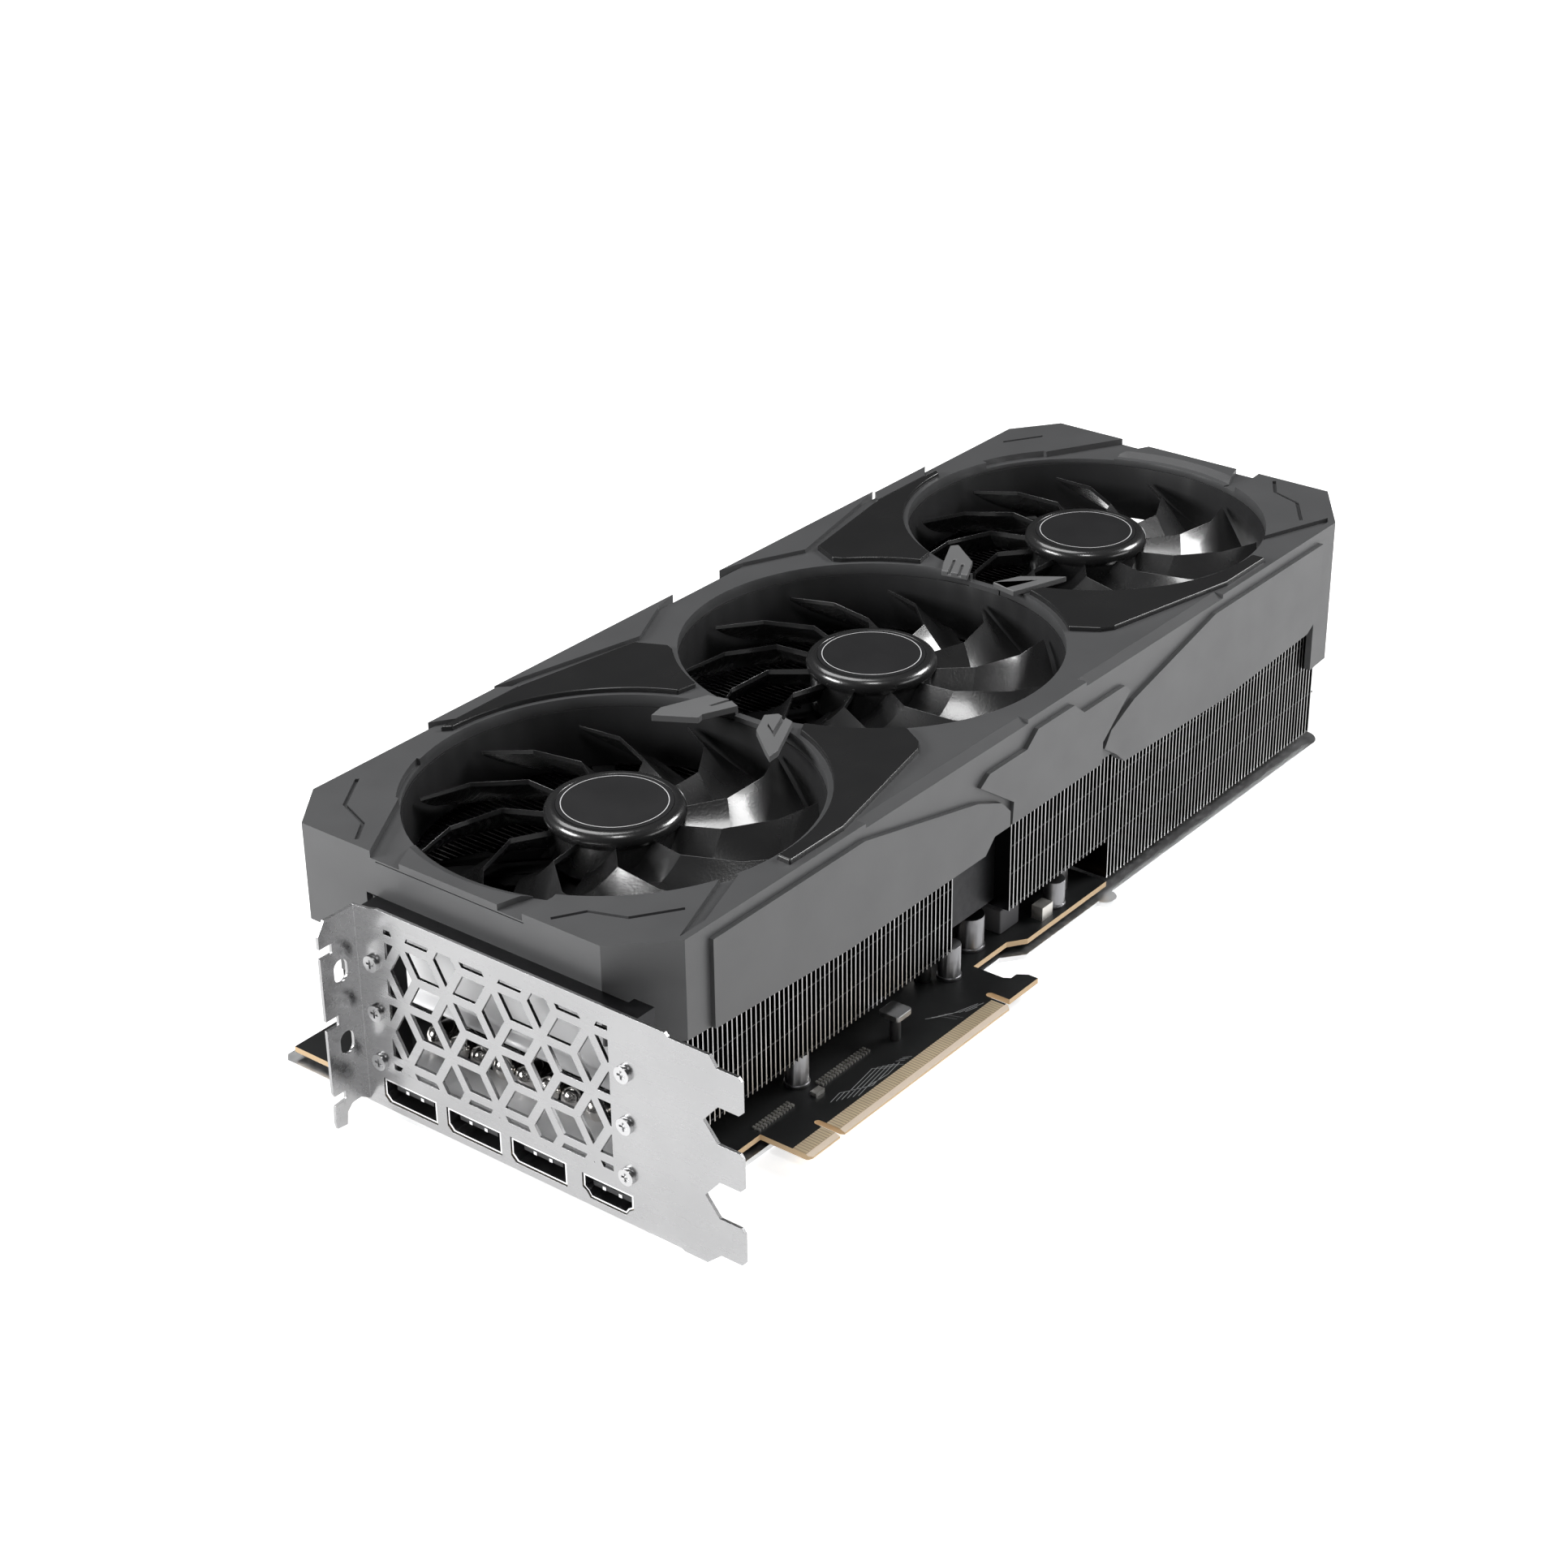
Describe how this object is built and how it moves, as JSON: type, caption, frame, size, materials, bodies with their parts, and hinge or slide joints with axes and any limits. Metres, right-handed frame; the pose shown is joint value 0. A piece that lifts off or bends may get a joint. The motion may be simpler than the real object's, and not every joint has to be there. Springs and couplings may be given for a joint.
{
  "type": "triple-fan graphics card",
  "caption": "Triple-fan graphics card with a faceted shroud, long fin stacks, board with edge connector, backplate and vented slot bracket.",
  "frame": {"origin": "centre of the card's bounding box, on the plane of the backplate's underside", "axes": "+X along the card from the slot bracket to the tail, +Y across the board away from the edge contacts, +Z from the backplate up to the fans"},
  "size_m": [0.352, 0.155, 0.0748],
  "materials": {
    "shroud_plastic": "satin",
    "accent_plastic": "semi-gloss",
    "emblem_plastic": "satin",
    "black_screw": "satin",
    "fan_plastic": "semi-gloss",
    "badge_film": "satin",
    "polished_steel": "polished",
    "magnet_steel": "satin",
    "copper_winding": "satin",
    "black_plastic": "satin",
    "fin_aluminium": "satin",
    "black_sheet": "satin",
    "nickel_copper": "plated",
    "thermal_pad": "matte",
    "board": "solder mask, satin",
    "gold": "plated",
    "substrate": "satin",
    "silicon": "polished",
    "chip_epoxy": "matte",
    "choke_ferrite": "matte",
    "can_aluminium": "satin",
    "solder_parts": "satin",
    "connector_plastic": "matte",
    "header_plastic": "satin",
    "post_steel": "satin",
    "backplate_metal": "fine sandblasted",
    "zinc_screw": "plated",
    "bracket_steel": "nickel plated, bright",
    "shell_steel": "plated"
  },
  "bodies": {
    "card": {"shroud": "shroud_plastic", "fan_ducts": "black_plastic", "accent_panel_left_front": "accent_plastic", "accent_panel_left_rear": "accent_plastic", "accent_panel_right_front": "accent_plastic", "accent_panel_right_rear": "accent_plastic", "emblem_bars_front": "emblem_plastic", "emblem_bars_rear": "emblem_plastic", "shroud_screws": "black_screw", "fan_1_stator": "copper_winding", "fan_1_frame": "black_plastic", "fan_2_stator": "copper_winding", "fan_2_frame": "black_plastic", "fan_3_stator": "copper_winding", "fan_3_frame": "black_plastic", "fan_screws": "black_screw", "fin_stack_front": "fin_aluminium", "fin_stack_rear": "fin_aluminium", "fin_bridge_plate": "black_sheet", "heat_pipes": "nickel_copper", "cold_plate": "nickel_copper", "thermal_pads": "thermal_pad", "pcb": "board", "edge_contacts": "gold", "gpu_substrate": "substrate", "gpu_die": "silicon", "memory_chips": "chip_epoxy", "power_chokes": "choke_ferrite", "power_stages": "chip_epoxy", "can_capacitors": "can_aluminium", "small_components": "solder_parts", "power_inlet": "connector_plastic", "fan_headers": "header_plastic", "support_posts": "post_steel", "backplate": "backplate_metal", "backplate_screws": "zinc_screw", "clamp_cross": "post_steel", "clamp_screws": "zinc_screw", "slot_bracket": "bracket_steel", "bracket_holder": "black_sheet", "bracket_screws": "zinc_screw", "displayport_shells": "shell_steel", "displayport_tongues": "connector_plastic", "hdmi_shell": "shell_steel", "hdmi_tongue": "connector_plastic"},
    "fan_1": {"fan_1_rotor": "fan_plastic", "fan_1_badge": "badge_film", "fan_1_shaft": "polished_steel", "fan_1_magnet_ring": "magnet_steel"},
    "fan_2": {"fan_2_rotor": "fan_plastic", "fan_2_badge": "badge_film", "fan_2_shaft": "polished_steel", "fan_2_magnet_ring": "magnet_steel"},
    "fan_3": {"fan_3_rotor": "fan_plastic", "fan_3_badge": "badge_film", "fan_3_shaft": "polished_steel", "fan_3_magnet_ring": "magnet_steel"}
  },
  "joints": [
    {"name": "fan_1_spin", "type": "hinge", "parent": "card", "child": "fan_1", "pos_m": [-0.099, 0.015, 0.061], "axis": [0, 0, 1], "continuous": true},
    {"name": "fan_2_spin", "type": "hinge", "parent": "card", "child": "fan_2", "pos_m": [0.0078, 0.015, 0.061], "axis": [0, 0, 1], "continuous": true},
    {"name": "fan_3_spin", "type": "hinge", "parent": "card", "child": "fan_3", "pos_m": [0.1146, 0.015, 0.061], "axis": [0, 0, 1], "continuous": true}
  ]
}
